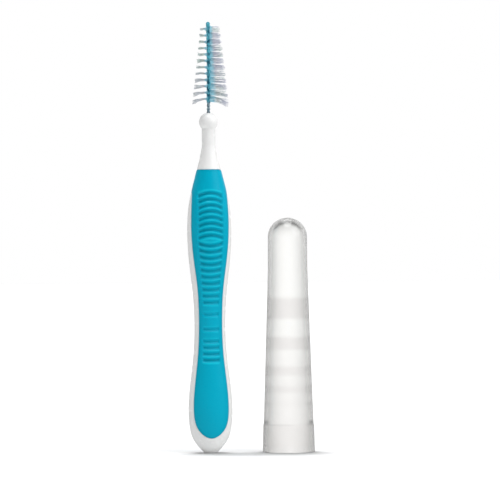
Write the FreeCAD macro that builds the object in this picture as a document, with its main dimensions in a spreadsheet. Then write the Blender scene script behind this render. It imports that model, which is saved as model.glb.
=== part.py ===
import FreeCAD, Part
import math
import os
import Sketcher
from FreeCAD import Vector

# Interdental brush with its cap standing beside it.
# Frame: origin at the centre of the foot, Z up along the brush, the cap towards +X,
# the front of the grip towards -Y. All lengths are in millimetres.

SIZES = {
    # Handle, half widths along X; the height is that of the foot to the start of the straight neck
    "handle_length": 55.1,
    "foot_half_width": 1.12,
    "lower_bulge_half_width": 3.96,
    "waist_half_width": 2.81,
    "upper_bulge_half_width": 3.97,
    "grip_top_half_width": 2.16,
    "neck_radius": 1.215,
    "neck_length": 4.4,
    "ball_radius": 1.69,
    # Grip: the white edge beside the panels, the rubber's thickness, and its ribs
    "edge_width": 0.7,
    "grip_thickness": 1.2,
    "rib_pitch": 1.08,
    "groove_width": 0.45,
    "groove_depth": 0.22,
    "groove_half_length": 2.43,
    "groove_rise": 0.72,
    # Wire: two legs of one strand, twisted, with a slot between them for the filaments
    "strand_radius": 0.125,
    "slot_clearance": 0.015,
    "wire_bore_clearance": 0.025,
    "anchored_length": 5.2,
    "stem_length": 1.9,
    "stem_pitch": 1.26,
    "brush_pitch": 2.28,
    "tip_length": 0.73,
    # Filaments
    "filament_radius": 0.04,
    "tip_reach": 1.75,
    "base_reach": 3.4,
    "base_droop": 0.85,
    "fan_spread": 0.25,
    # Cap, radii about its own axis: it goes over the upper bulge and clears the wire's tip
    "cap_distance": 14.1,
    "cap_overlap": 3.75,
    "cap_fit_clearance": 0.07,
    "cap_tip_clearance": 0.5,
    "cap_mouth_wall": 0.66,
    "cap_collar_height": 4.9,
    "cap_collar_step": 0.22,
    "cap_dome_radius": 3.53,
    "cap_wall": 0.62,
    "cap_crown": 0.85,
    "cap_ring_depth": 0.12,
}

ROWS = 12
FILAMENTS_PER_ROW = 10

# Names for a sketch's own numbers: points of an edge, the origin and the two axes
START, END, CENTRE = 1, 2, 3
ORIGIN, FLAT_AXIS, UPRIGHT_AXIS = -1, -1, -2

# Handle sections, from the foot up: share of the handle's length, the size that its half width follows,
# its share of that size, its depth as a share of its width, the white edge as a share of the edge width,
# and how far the core's web lies under the surface at the side and at the front, as shares of the grip's
# thickness. Where the side's share is below 0, the web reaches past the side, and so the core shows there.
handle_section_shares = [
    (0.0, "foot_half_width", 1.0, 0.86, None, -0.4, 0.5),
    (0.0136, "lower_bulge_half_width", 0.47, 0.86, None, -0.4, 0.75),
    (0.04, "lower_bulge_half_width", 0.755, 0.84, None, -0.4, 1.0),
    (0.078, "lower_bulge_half_width", 0.935, 0.82, 1.8, -0.4, 1.0),
    (0.134, "lower_bulge_half_width", 1.0, 0.81, 1.09, -0.4, 1.0),
    (0.2215, "lower_bulge_half_width", 0.92, 0.81, 0.98, -0.4, 1.0),
    (0.3177, "waist_half_width", 1.078, 0.83, 0.93, -0.4, 1.0),
    (0.4357, "waist_half_width", 1.0, 0.86, 0.95, -0.4, 1.0),
    (0.5446, "waist_half_width", 1.135, 0.875, 1.08, -0.4, 1.0),
    (0.6354, "upper_bulge_half_width", 0.947, 0.89, 0.98, -0.4, 1.0),
    (0.7333, "upper_bulge_half_width", 1.0, 0.895, 0.75, -0.4, 1.0),
    (0.824, "upper_bulge_half_width", 0.89, 0.91, 0.33, 0.0, 1.0),
    (0.8858, "grip_top_half_width", 1.25, 0.94, None, 0.6, 0.65),
    (0.924, "grip_top_half_width", 1.0, 0.96, None, 0.5, 0.5),
    (0.9584, "neck_radius", 1.366, 0.98, None, 0.35, 0.35),
    (1.0, "neck_radius", 1.0, 1.0, None, 0.3, 0.3),
]
UPPER_BULGE, GRIP_TOP = 10, 13
panel_end_share = 0.0488
sleeve_start_share = 0.857
sleeve_overlap_share = 0.811

# Rib grooves: share of the handle's length of the first one, how many, the step to the next as a share
# of the rib pitch, and at the first and last one their shares of the half length, the rise and the width.
rib_group_shares = [
    (0.8463, 8, 1.0, (1.0, 1.0), (1.0, 0.75), (1.0, 1.0)),
    (0.6752, 10, 1.045, (1.0, 0.68), (-0.75, -0.1), (1.0, 0.8)),
    (0.4512, 2, 2.46, (0.66, 0.68), (-0.1, -0.1), (0.7, 0.7)),
    (0.3636, 4, 1.033, (0.7, 0.72), (-0.1, -0.1), (0.8, 0.8)),
]

# Cap: its knee, above which the taper nearly stops, and the rings inside it, as shares of its height
# and of the dome's radius. A ring is given by its lower and its upper edge.
cap_knee_share = 0.782
cap_knee_radius_share = 1.008
cap_ledge_share = 0.142
cap_ring_shares = [(0.197, 0.213), (0.251, 0.284), (0.325, 0.367), (0.436, 0.49), (0.569, 0.656)]

doc = FreeCAD.newDocument("interdental_brush")

sheet = doc.addObject("Spreadsheet::Sheet", "Sizes")
for row, (name, size) in enumerate(SIZES.items(), start=1):
    sheet.set(f"A{row}", name)
    sheet.set(f"B{row}", str(size))
    sheet.setAlias(f"B{row}", name)
doc.recompute()


def size(name):
    return float(sheet.get(name))


def bind(thing, **expressions):
    """Bind properties to expressions; a double underscore in a name stands for a dot."""
    for name, expression in expressions.items():
        thing.setExpression(name.replace("__", "."), expression)
    return thing


def add(kind, name, **expressions):
    thing = doc.addObject(kind, name)
    thing.Label = name
    return bind(thing, **expressions)


def feature(name, shape):
    thing = doc.addObject("Part::Feature", name)
    thing.Label = name
    thing.Shape = shape
    return thing


def cut(name, base, tool):
    thing = add("Part::Cut", name)
    thing.Base = base
    thing.Tool = tool
    return thing


def mixed(ends, share):
    return ends[0] + (ends[1] - ends[0]) * share


# Handle form: ellipses at their heights, lofted

def handle_loft(name, width_of, depth_of):
    """A loft through one ellipse per handle section; the two functions give its half axes as expressions."""
    sections = []
    for number, shares in enumerate(handle_section_shares, start=1):
        ellipse = add(
            "Part::Ellipse",
            f"{name}_section_{number:02d}",
            MajorRadius=width_of(shares),
            MinorRadius=depth_of(shares),
            Placement__Base__z=f"Sizes.handle_length * {shares[0]}",
        )
        sections.append(ellipse)
    loft = add("Part::Loft", name)
    loft.Sections = sections
    loft.Solid = True
    loft.Ruled = False
    return loft


def outside_width(shares):
    return f"Sizes.{shares[1]} * {shares[2]}"


def outside_depth(shares):
    return f"Sizes.{shares[1]} * {shares[2] * shares[3]:.5f}"


def web_width(shares):
    return f"{outside_width(shares)} - Sizes.grip_thickness * {shares[5]}"


def web_depth(shares):
    return f"{outside_depth(shares)} - Sizes.grip_thickness * {shares[6]}"


def floor_width(shares):
    return f"{outside_width(shares)} - Sizes.groove_depth"


def floor_depth(shares):
    return f"{outside_depth(shares)} - Sizes.groove_depth"


handle_form = handle_loft("handle_form", outside_width, outside_depth)
core_web = handle_loft("core_web", web_width, web_depth)
groove_floor = handle_loft("groove_floor", floor_width, floor_depth)


# Panel outline, seen from the front: it follows the handle's outline, one white edge further in

def panel_outline():
    length = size("handle_length")
    outside = size("upper_bulge_half_width") * sleeve_overlap_share
    sleeve_start = length * sleeve_start_share
    top = length * handle_section_shares[GRIP_TOP][0]
    side = []
    for height_share, key, width_share, _, edge_share, _, _ in handle_section_shares:
        if edge_share is not None:
            half_width = size(key) * width_share - size("edge_width") * edge_share
            side.append(Vector(half_width, 0, length * height_share))
    side.append(Vector(outside, 0, sleeve_start))
    other_side = [Vector(-point.x, 0, point.z) for point in reversed(side)]
    curve = Part.BSplineCurve()
    curve.interpolate(other_side + [Vector(0, 0, length * panel_end_share)] + side)
    corners = [side[-1], Vector(outside, 0, top), Vector(-outside, 0, top), other_side[0]]
    frame = [Part.makeLine(a, b) for a, b in zip(corners, corners[1:])]
    return Part.Face(Part.Wire([curve.toShape(), *frame]))


panel_face = feature("panel_outline", panel_outline())
panel_block = add("Part::Extrusion", "panel_block", LengthFwd="Sizes.upper_bulge_half_width * 4")
panel_block.Base = panel_face
panel_block.DirMode = "Custom"
panel_block.Dir = Vector(0, 1, 0)
panel_block.Solid = True
panel_block.Symmetric = True
grip_mould = cut("grip_mould", panel_block, core_web)


# Rib grooves: bands along arcs across the front and the back, as deep as the groove floor allows

def groove_band(height, half_length, rise, width):
    """A flat band along an arc whose ends lie lower than its middle by the rise, as a block along Y."""
    radius = (half_length**2 + rise**2) / (2 * rise)
    centre = Vector(0, 0, height - radius)
    half_angle = math.asin(half_length / radius)

    def on_arc(reach, angle):
        return centre + Vector(reach * math.sin(angle), 0, reach * math.cos(angle))

    outer, inner = radius + width / 2, radius - width / 2
    edges = [
        Part.Arc(on_arc(outer, -half_angle), on_arc(outer, 0), on_arc(outer, half_angle)).toShape(),
        Part.makeLine(on_arc(outer, half_angle), on_arc(inner, half_angle)),
        Part.Arc(on_arc(inner, half_angle), on_arc(inner, 0), on_arc(inner, -half_angle)).toShape(),
        Part.makeLine(on_arc(inner, -half_angle), on_arc(outer, -half_angle)),
    ]
    reach_back = size("upper_bulge_half_width")
    face = Part.Face(Part.Wire(edges))
    face.translate(Vector(0, -reach_back, 0))
    return face.extrude(Vector(0, 2 * reach_back, 0))


def groove_bands(first_share, count, step_share, length_shares, rise_shares, width_shares):
    bands = []
    for number in range(count):
        along_share = number / (count - 1)
        height = size("handle_length") * first_share - size("rib_pitch") * step_share * number
        bands.append(
            groove_band(
                height,
                size("groove_half_length") * mixed(length_shares, along_share),
                size("groove_rise") * mixed(rise_shares, along_share),
                size("groove_width") * mixed(width_shares, along_share),
            )
        )
    return Part.makeCompound(bands)


rubber_grip = add("Part::MultiCommon", "grip_blank")
rubber_grip.Shapes = [handle_form, grip_mould]
for group, shares in enumerate(rib_group_shares, start=1):
    bands = feature(f"groove_bands_{group}", groove_bands(*shares))
    cutters = cut(f"groove_cutters_{group}", bands, groove_floor)
    rubber_grip = cut(f"grooved_grip_{group}", rubber_grip, cutters)
rubber_grip.Label = "rubber_grip"

# Handle core: the form less the grip's mould, with the neck, the ball and the bore for the wire

core_blank = cut("core_blank", handle_form, grip_mould)
neck = add(
    "Part::Cylinder",
    "neck",
    Radius="Sizes.neck_radius",
    Height="Sizes.neck_length",
    Placement__Base__z="Sizes.handle_length",
)
ball = add(
    "Part::Sphere",
    "ball",
    Radius="Sizes.ball_radius",
    Placement__Base__z="Sizes.handle_length + Sizes.neck_length",
)
core_solid = add("Part::MultiFuse", "core_solid")
core_solid.Shapes = [core_blank, neck, ball]
wire_bore = add(
    "Part::Cylinder",
    "wire_bore",
    Radius="Sizes.strand_radius * 2 + Sizes.filament_radius + Sizes.slot_clearance"
    " + Sizes.wire_bore_clearance",
    Height="Sizes.anchored_length + Sizes.wire_bore_clearance + Sizes.ball_radius",
    Placement__Base__z="Sizes.handle_length + Sizes.neck_length + Sizes.ball_radius"
    " - Sizes.anchored_length - Sizes.wire_bore_clearance",
)
handle_core = cut("handle_core", core_solid, wire_bore)

# Wire: heights of its stretches, and the angle of its twist at each height

ball_top = size("handle_length") + size("neck_length") + size("ball_radius")
anchor_end = ball_top - size("anchored_length")
brush_start = ball_top + size("stem_length")
half_turn = size("brush_pitch") / 2
brush_end = brush_start + ROWS * half_turn
leg_distance = size("strand_radius") + size("filament_radius") + size("slot_clearance")
fold_start = brush_end + size("tip_length") - leg_distance - size("strand_radius")


def twist_angle(height):
    """Angle of the first leg about the wire's axis; the slot between the legs is square to it."""
    if height < brush_start:
        return 2 * math.pi * (height - brush_start) / size("stem_pitch")
    return 2 * math.pi * (height - brush_start) / size("brush_pitch")


def twist_rate(height):
    below = 2 * math.pi / size("stem_pitch")
    above = 2 * math.pi / size("brush_pitch")
    if abs(height - brush_start) < size("strand_radius"):
        return (below + above) / 2
    return below if height < brush_start else above


def leg_point(height, side):
    angle = twist_angle(height)
    return Vector(side * leg_distance * math.cos(angle), side * leg_distance * math.sin(angle), height)


def leg_direction(height, side):
    angle = twist_angle(height)
    sideways = side * leg_distance * twist_rate(height)
    return Vector(-sideways * math.sin(angle), sideways * math.cos(angle), 1).normalize()


def arc_from(start, direction, end):
    """The arc that leaves the start along the direction and reaches the end."""
    chord = end - start
    inward = (chord - direction * chord.dot(direction)).normalize()
    radius = chord.dot(chord) / (2 * chord.dot(inward))
    centre = start + inward * radius
    middle = centre + ((start - centre) + (end - centre)).normalize() * radius
    return Part.Arc(start, middle, end).toShape()


def biarc(start, leaving, end, arriving):
    """Two arcs that meet with one tangent between two points with given directions."""
    chord = end - start
    both = leaving + arriving
    spread = 2 * (1 - leaving.dot(arriving))
    reach = (math.sqrt(chord.dot(both) ** 2 + spread * chord.dot(chord)) - chord.dot(both)) / spread
    joint = (start + end + (leaving - arriving) * reach) / 2
    return [arc_from(start, leaving, joint), arc_from(end, arriving * -1, joint)]


def stretch_heights(low, high, pitch):
    """Heights from low to high, at most a quarter turn apart."""
    spans = math.ceil((high - low) / (pitch / 4))
    return [low + (high - low) * number / spans for number in range(spans + 1)]


def wire_path():
    heights = stretch_heights(anchor_end, brush_start, size("stem_pitch"))
    heights += stretch_heights(brush_start, fold_start, size("brush_pitch"))[1:]
    nodes = [(leg_point(height, 1), leg_direction(height, 1)) for height in heights]
    nodes += [(leg_point(height, -1), leg_direction(height, -1) * -1) for height in reversed(heights)]
    edges = []
    for (start, leaving), (end, arriving) in zip(nodes, nodes[1:]):
        edges += biarc(start, leaving, end, arriving)
    return nodes[0], Part.Wire(Part.__sortEdges__(edges))


def tube(start, direction, path, radius):
    ring = Part.Wire([Part.makeCircle(radius, start, direction)])
    return path.makePipeShell([ring], True, False)


(wire_start, wire_leaving), wire_line = wire_path()
wire_solid = tube(wire_start, wire_leaving, wire_line, size("strand_radius"))
twisted_wire = feature("twisted_wire", wire_solid)


# Filaments: each one runs straight through the slot between the legs and bends evenly on both sides

def side_path(direction, height, straight, reach, rise):
    """The arc of one side of a filament, from the end of its straight middle to its tip."""
    across = reach - straight
    start = direction * straight + Vector(0, 0, height)
    end = direction * reach + Vector(0, 0, height + rise)
    angle = 2 * math.atan2(rise, across)
    radius = across / math.sin(angle)
    middle = start + direction * (radius * math.sin(angle / 2))
    middle += Vector(0, 0, radius * (1 - math.cos(angle / 2)))
    return start, Part.Arc(start, middle, end).toShape()


def filament(height, turn, reach, left_rise, right_rise):
    direction = Vector(math.cos(turn), math.sin(turn), 0)
    straight = leg_distance + size("strand_radius")
    left_start, left = side_path(direction * -1, height, straight, reach, left_rise)
    right_start, right = side_path(direction, height, straight, reach, right_rise)
    edges = Part.__sortEdges__([left, Part.makeLine(left_start, right_start), right])
    path = Part.Wire(edges)
    first = edges[0]
    start = first.valueAt(first.FirstParameter)
    leaving = first.tangentAt(first.FirstParameter)
    if first.Orientation == "Reversed":
        start = first.valueAt(first.LastParameter)
        leaving = first.tangentAt(first.LastParameter) * -1
    return tube(start, leaving, path, size("filament_radius"))


def bristle_row(number):
    """One half turn of filaments. The row's middle ones point along X, its outer ones along Y."""
    down_share = number / (ROWS - 1)
    middle = brush_end - (number + 0.5) * half_turn
    reach = mixed((size("tip_reach"), size("base_reach")), down_share)
    droop = -size("base_droop") * down_share**4
    filaments = []
    for place in range(FILAMENTS_PER_ROW):
        off_middle_share = (place + 0.5) / FILAMENTS_PER_ROW - 0.5
        height = middle + off_middle_share * half_turn
        gathered = -off_middle_share * size("fan_spread")
        turn = twist_angle(height) - math.pi / 2
        turn -= math.pi * round(turn / math.pi)
        filaments.append(filament(height, turn, reach, droop + gathered, droop - gathered))
    return Part.makeCompound(filaments)


bristle_rows = [
    feature(f"bristle_row_{number + 1:02d}", bristle_row(number)) for number in range(ROWS)
]

# Cap: a turned outside, a turned hollow and the rings on the hollow's wall

cap = add("PartDesign::Body", "cap", Placement__Base__x="Sizes.cap_distance")

tip_height = (
    "(Sizes.handle_length + Sizes.neck_length + Sizes.ball_radius + Sizes.stem_length"
    f" + Sizes.brush_pitch / 2 * {ROWS} + Sizes.tip_length)"
)
bulge_height = f"Sizes.handle_length * {handle_section_shares[UPPER_BULGE][0]}"
cap_height = (
    f"({tip_height} - {bulge_height} + Sizes.cap_overlap + Sizes.cap_tip_clearance + Sizes.cap_crown)"
)
bore_radius = "(Sizes.upper_bulge_half_width + Sizes.cap_fit_clearance)"
mouth_radius = f"({bore_radius} + Sizes.cap_mouth_wall)"
body_radius = f"({mouth_radius} - Sizes.cap_collar_step)"
step_height = "(Sizes.cap_collar_height + Sizes.cap_collar_step)"
knee_height = f"{cap_height} * {cap_knee_share}"
knee_radius = f"Sizes.cap_dome_radius * {cap_knee_radius_share}"
dome_height = f"{cap_height} - Sizes.cap_dome_radius"
hollow_top = f"{cap_height} - Sizes.cap_crown"
ledge_height = f"{cap_height} * {cap_ledge_share}"


def wall_radius(height, inward="0"):
    """Radius of the hollow's wall below the knee, at a height, as an expression."""
    along = f"(({height}) - {step_height}) / ({knee_height} - {step_height})"
    return f"{body_radius} - Sizes.cap_wall - {inward} + ({knee_radius} - {body_radius}) * {along}"


def turned_sketch(name, outlines):
    """Closed outlines beside the axis. A corner is a pair of expressions; a third one is the height of the
    centre of the arc that runs from it to the next corner."""
    sketch = cap.newObject("Sketcher::SketchObject", name)
    plane = next(o for o in cap.Origin.OriginFeatures if o.Role == "XZ_Plane")
    sketch.AttachmentSupport = [(plane, "")]
    sketch.MapMode = "FlatFace"
    for outline in outlines:
        first = sketch.GeometryCount
        points = [Vector(*(float(sheet.evalExpression(e)) for e in corner[:2]), 0) for corner in outline]
        for start, end, corner in zip(points, points[1:] + points[:1], outline):
            if len(corner) == 3:
                centre = Vector(0, float(sheet.evalExpression(corner[2])), 0)
                circle = Part.Circle(centre, Vector(0, 0, 1), (start - centre).Length)
                quarter = (start - centre).getAngle(end - centre)
                sketch.addGeometry(Part.ArcOfCircle(circle, 0, quarter))
            else:
                sketch.addGeometry(Part.LineSegment(start, end))
        for index, corner in enumerate(outline):
            here = first + index
            after = first + (index + 1) % len(outline)
            sketch.addConstraint(Sketcher.Constraint("Coincident", here, END, after, START))
            if len(corner) == 3:
                sketch.addConstraint(Sketcher.Constraint("PointOnObject", here, CENTRE, UPRIGHT_AXIS))
            for kind, expression, axis in zip(("DistanceX", "DistanceY"), corner, (UPRIGHT_AXIS, FLAT_AXIS)):
                if expression == "0":
                    sketch.addConstraint(Sketcher.Constraint("PointOnObject", here, START, axis))
                    continue
                place = float(sheet.evalExpression(expression))
                number = sketch.addConstraint(Sketcher.Constraint(kind, ORIGIN, START, here, START, place))
                sketch.setExpression(f"Constraints[{number}]", expression)
    return sketch


def turned(kind, name, outlines):
    thing = cap.newObject(kind, name)
    sketch = turned_sketch(name + "_outline", outlines)
    thing.Profile = sketch
    thing.ReferenceAxis = (sketch, ["V_Axis"])
    thing.Angle = 360
    doc.recompute()
    return thing


outside = [
    ("0", "0"),
    (mouth_radius, "0"),
    (f"{mouth_radius} - Sizes.cap_collar_step / 2", "Sizes.cap_collar_height"),
    (body_radius, step_height),
    (knee_radius, knee_height),
    ("Sizes.cap_dome_radius", dome_height, dome_height),
    ("0", cap_height),
]
turned("PartDesign::Revolution", "cap_outside", [outside])

hollow_radius = "(Sizes.cap_dome_radius - Sizes.cap_wall)"
hollow_dome = f"({hollow_top} - {hollow_radius})"
hollow = [
    ("0", "0"),
    (bore_radius, "0"),
    (bore_radius, f"{ledge_height} - Sizes.cap_collar_step"),
    (wall_radius(ledge_height), ledge_height),
    (f"{knee_radius} - Sizes.cap_wall", knee_height),
    (hollow_radius, hollow_dome, hollow_dome),
    ("0", hollow_top),
]
full_volume = cap.Shape.Volume
turned("PartDesign::Groove", "cap_hollow", [hollow])
hollow_volume = cap.Shape.Volume

rings = []
for low_share, high_share in cap_ring_shares:
    low = f"{cap_height} * {low_share}"
    high = f"{cap_height} * {high_share}"
    inward = "Sizes.cap_ring_depth"
    into_wall = "-Sizes.cap_wall / 2"
    rings.append(
        [
            (wall_radius(low, inward), low),
            (wall_radius(low, into_wall), low),
            (wall_radius(high, into_wall), high),
            (wall_radius(high, inward), high),
        ]
    )
turned("PartDesign::Revolution", "cap_rings", rings)
ringed_volume = cap.Shape.Volume
if not hollow_volume < ringed_volume < full_volume:
    raise RuntimeError("the cap's hollow or its rings didn't change the solid as they should")

# Checks, and one file for each piece

doc.recompute()
failed = [o.Name for o in doc.Objects if "Invalid" in o.State or "Error" in o.State]
if failed:
    raise RuntimeError(f"features failed: {failed}")

pieces = [handle_core, rubber_grip, twisted_wire, *bristle_rows, cap]
os.makedirs("parts", exist_ok=True)
for piece in pieces:
    if piece.Shape.isNull() or not piece.Shape.isValid() or not piece.Shape.Solids:
        raise RuntimeError(f"{piece.Label} has no valid solid")
for piece in pieces:
    piece.Shape.exportStep(f"parts/{piece.Label}.step")
    print(f"{piece.Label}: {len(piece.Shape.Solids)} solids, {piece.Shape.Volume:.4f} mm3")

wire_run = math.pi * size("strand_radius") ** 2 * wire_line.Length
print(f"wire: volume over section times length {wire_solid.Volume / wire_run:.4f}")
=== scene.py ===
import math
import random

import bmesh
import bpy
import numpy as np
from mathutils import Matrix, Vector

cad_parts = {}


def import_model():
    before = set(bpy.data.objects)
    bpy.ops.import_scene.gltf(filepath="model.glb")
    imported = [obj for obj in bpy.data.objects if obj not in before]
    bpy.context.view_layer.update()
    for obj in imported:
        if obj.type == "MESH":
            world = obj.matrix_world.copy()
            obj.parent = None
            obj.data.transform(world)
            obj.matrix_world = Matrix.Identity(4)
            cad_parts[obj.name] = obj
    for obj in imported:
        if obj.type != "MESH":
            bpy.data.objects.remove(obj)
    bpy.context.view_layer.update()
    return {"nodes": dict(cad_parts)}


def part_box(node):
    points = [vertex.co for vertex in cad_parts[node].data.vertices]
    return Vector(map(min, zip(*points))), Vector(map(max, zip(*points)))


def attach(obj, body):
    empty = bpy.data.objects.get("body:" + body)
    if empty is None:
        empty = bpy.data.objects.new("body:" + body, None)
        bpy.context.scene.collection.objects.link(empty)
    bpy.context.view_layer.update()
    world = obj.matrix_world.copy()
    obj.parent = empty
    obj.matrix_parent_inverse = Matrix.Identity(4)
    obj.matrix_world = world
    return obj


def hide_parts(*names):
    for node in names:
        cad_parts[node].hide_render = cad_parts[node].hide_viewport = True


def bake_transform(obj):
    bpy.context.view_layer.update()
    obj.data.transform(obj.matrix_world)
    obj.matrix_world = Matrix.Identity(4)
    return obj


# Interdental brush with its cap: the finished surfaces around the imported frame.
# Shapes are worked out in millimetres and become metres as their meshes are made.

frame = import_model()

MM = 0.001


def box_mm(node):
    """The low and the high corner of the node's box."""
    low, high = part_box(node)
    return low / MM, high / MM


core_top = box_mm("handle_core")[1].z
grip_top = box_mm("rubber_grip")[1].z
wire_bottom, wire_top = (corner.z for corner in box_mm("twisted_wire"))
cap_low, cap_high = box_mm("cap")
row_nodes = sorted(name for name in frame["nodes"] if name.startswith("bristle_row_"))

# Handle sections, from the foot up: share of the handle's length, the width that it follows and its
# share of that, its depth as a share of its width, and the white edge as a share of the edge width

HALF_WIDTHS = {
    "foot": 1.12,
    "lower_bulge": 3.96,
    "waist": 2.81,
    "upper_bulge": 3.97,
    "grip_top": 2.16,
    "neck": 1.215,
}
EDGE_WIDTH = 0.7
SECTION_SHARES = [
    (0.0, "foot", 1.0, 0.86, None),
    (0.0136, "lower_bulge", 0.47, 0.86, None),
    (0.04, "lower_bulge", 0.755, 0.84, None),
    (0.078, "lower_bulge", 0.935, 0.82, 1.8),
    (0.134, "lower_bulge", 1.0, 0.81, 1.09),
    (0.2215, "lower_bulge", 0.92, 0.81, 0.98),
    (0.3177, "waist", 1.078, 0.83, 0.93),
    (0.4357, "waist", 1.0, 0.86, 0.95),
    (0.5446, "waist", 1.135, 0.875, 1.08),
    (0.6354, "upper_bulge", 0.947, 0.89, 0.98),
    (0.7333, "upper_bulge", 1.0, 0.895, 0.75),
    (0.824, "upper_bulge", 0.89, 0.91, 0.33),
    (0.8858, "grip_top", 1.25, 0.94, None),
    (0.924, "grip_top", 1.0, 0.96, None),
    (0.9584, "neck", 1.366, 0.98, None),
    (1.0, "neck", 1.0, 1.0, None),
]
GRIP_TOP_SHARE = 0.924
PANEL_END_SHARE = 0.0488
SLEEVE_START_SHARE = 0.857
SLEEVE_OVERLAP_SHARE = 0.811

handle_length = grip_top / GRIP_TOP_SHARE
panel_end = handle_length * PANEL_END_SHARE


def curve_through(places, values):
    """A natural cubic curve through the values at the given places, as a function."""
    places, values = np.array(places, float), np.array(values, float)
    spans = np.diff(places)
    slopes = np.diff(values) / spans
    matrix, right = np.eye(len(places)), np.zeros(len(places))
    for i in range(1, len(places) - 1):
        matrix[i, i - 1 : i + 2] = spans[i - 1], 2 * (spans[i - 1] + spans[i]), spans[i]
        right[i] = 6 * (slopes[i] - slopes[i - 1])
    bend = np.linalg.solve(matrix, right)

    def curve(at):
        i = np.clip(np.searchsorted(places, at) - 1, 0, len(spans) - 1)
        before, after = (places[i + 1] - at) / spans[i], (at - places[i]) / spans[i]
        bulge = ((before**3 - before) * bend[i] + (after**3 - after) * bend[i + 1]) * spans[i] ** 2 / 6
        return before * values[i] + after * values[i + 1] + bulge

    return curve


section_heights = [handle_length * shares[0] for shares in SECTION_SHARES]
section_widths = [HALF_WIDTHS[shares[1]] * shares[2] for shares in SECTION_SHARES]
section_depths = [width * shares[3] for width, shares in zip(section_widths, SECTION_SHARES)]
edged_heights = [handle_length * shares[0] for shares in SECTION_SHARES if shares[4] is not None]
edges_low, edges_high = edged_heights[0], edged_heights[-1]
half_width = curve_through(section_heights, section_widths)
half_depth = curve_through(section_heights, section_depths)


# Panel outline, seen from the front: half of it, from the middle of its lower end, where its points lie
# closest, to the top's middle

OUTLINE_POINTS = 400
OUTLINE_CROWDING = 1.5
SEARCH_STEPS = 2000


def panel_outline():
    side = [(0.0, panel_end)]
    for height, width, shares in zip(section_heights, section_widths, SECTION_SHARES):
        if shares[4] is not None:
            side.append((width - EDGE_WIDTH * shares[4], height))
    outside = HALF_WIDTHS["upper_bulge"] * SLEEVE_OVERLAP_SHARE
    side.append((outside, handle_length * SLEEVE_START_SHARE))
    both = np.array([(-x, z) for x, z in side[:0:-1]] + side)
    along = np.concatenate([[0], np.cumsum(np.linalg.norm(np.diff(both, axis=0), axis=1))])
    across, up = curve_through(along, both[:, 0]), curve_through(along, both[:, 1])
    middle = along[len(side) - 1]
    steps = middle + (along[-1] - middle) * np.linspace(0, 1, OUTLINE_POINTS) ** OUTLINE_CROWDING
    curve = np.stack([across(steps), up(steps)], axis=1)
    curve[0] = 0, panel_end
    return np.vstack([curve, [(outside, grip_top), (0, grip_top)]])


outline = panel_outline()


def panel_half_width(height):
    return np.interp(height, outline[:-2, 1], outline[:-2, 0])


def outline_distance(x, z):
    """Distance from the panel's outline, seen from the front: below zero on the panel."""
    points = np.stack([np.abs(x), z], axis=-1)[..., None, :]
    start, span = outline[:-1], np.diff(outline, axis=0)
    along = np.clip(((points - start) * span).sum(-1) / (span**2).sum(-1), 0, 1)
    distance = np.linalg.norm(points - start - span * along[..., None], axis=-1).min(-1)
    on_panel = (np.abs(x) < panel_half_width(z)) & (z < grip_top)
    return np.where(on_panel, -distance, distance)


def sleeve_start():
    """Height at which the white edges end and the grip goes all the way round."""
    heights = np.linspace(edges_high, grip_top, SEARCH_STEPS)
    return heights[np.argmax(panel_half_width(heights) >= half_width(heights))]


sleeve_low = sleeve_start()


def corner_drop(distance, radius):
    """How far a rounded corner lies under the surface, at a distance from the corner's edge."""
    inward = np.clip(1 - distance / radius, 0, 1)
    return radius * (1 - np.sqrt(1 - inward**2))


def ring(angles, width, depth, height):
    """Points round an ellipse of that half width and half depth."""
    return np.stack([width * np.cos(angles), depth * np.sin(angles), np.full_like(angles, height)], axis=1)


# Meshes

MERGE_DISTANCE = 0.0004
FLAT_DISTANCE = 0.0002
CLOSING_RINGS = 6


def mesh_object(name, points, faces, material, painted_light=None):
    """A closed smooth mesh in metres from points in millimetres; points that coincide become one.
    Optional values, one for each point, hold painted light: below zero for painted shade, in a groove and
    along the rim, and up to 1 for a painted highlight on a rib."""
    mesh = bpy.data.meshes.new(name)
    mesh.from_pydata((np.asarray(points) * MM).tolist(), [], faces)
    if painted_light is not None:
        mesh.attributes.new("painted_light", "FLOAT", "POINT").data.foreach_set("value", painted_light)
    shape = bmesh.new()
    shape.from_mesh(mesh)
    bmesh.ops.remove_doubles(shape, verts=shape.verts, dist=MERGE_DISTANCE * MM)
    bmesh.ops.dissolve_degenerate(shape, edges=shape.edges, dist=FLAT_DISTANCE * MM)
    bmesh.ops.recalc_face_normals(shape, faces=shape.faces)
    for face in shape.faces:
        face.smooth = True
    shape.to_mesh(mesh)
    shape.free()
    mesh.materials.append(material)
    piece = bpy.data.objects.new(name, mesh)
    bpy.context.scene.collection.objects.link(piece)
    return piece


def band_faces(low, high, size):
    """Faces between two rings of that size, by the numbers of their first points."""
    pairs = [(column, (column + 1) % size) for column in range(size)]
    return [(low + column, low + after, high + after, high + column) for column, after in pairs]


def tube_faces(ring_count, ring_size, first=0):
    """Faces of a closed tube: between rings of equal size, and one polygon over either end."""
    starts = [first + number * ring_size for number in range(ring_count)]
    faces = []
    for low, high in zip(starts, starts[1:]):
        faces += band_faces(low, high, ring_size)
    last = starts[-1]
    faces.append(tuple(first + column for column in reversed(range(ring_size))))
    faces.append(tuple(last + column for column in range(ring_size)))
    return faces


def clustered(count):
    """Shares from 0 to 1, closer together at both ends."""
    return (1 - np.cos(np.linspace(0, math.pi, count + 1))) / 2


def steps_between(low, high, step):
    """Even heights, no more than a step apart."""
    return np.linspace(low, high, max(2, math.ceil((high - low) / step) + 1))


def arc(radius, height, size, start, end, count):
    """Points of a profile's arc about that radius and height, between two angles from outwards up."""
    angles = np.linspace(start, end, count)
    return [(radius + size * math.cos(angle), height + size * math.sin(angle)) for angle in angles]


def closing_in(edge, reach):
    """Heights that come ever closer to an edge, from a distance; a negative reach comes from below."""
    return edge + reach * (1 - np.sin(np.linspace(0, math.pi / 2, CLOSING_RINGS)))


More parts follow.
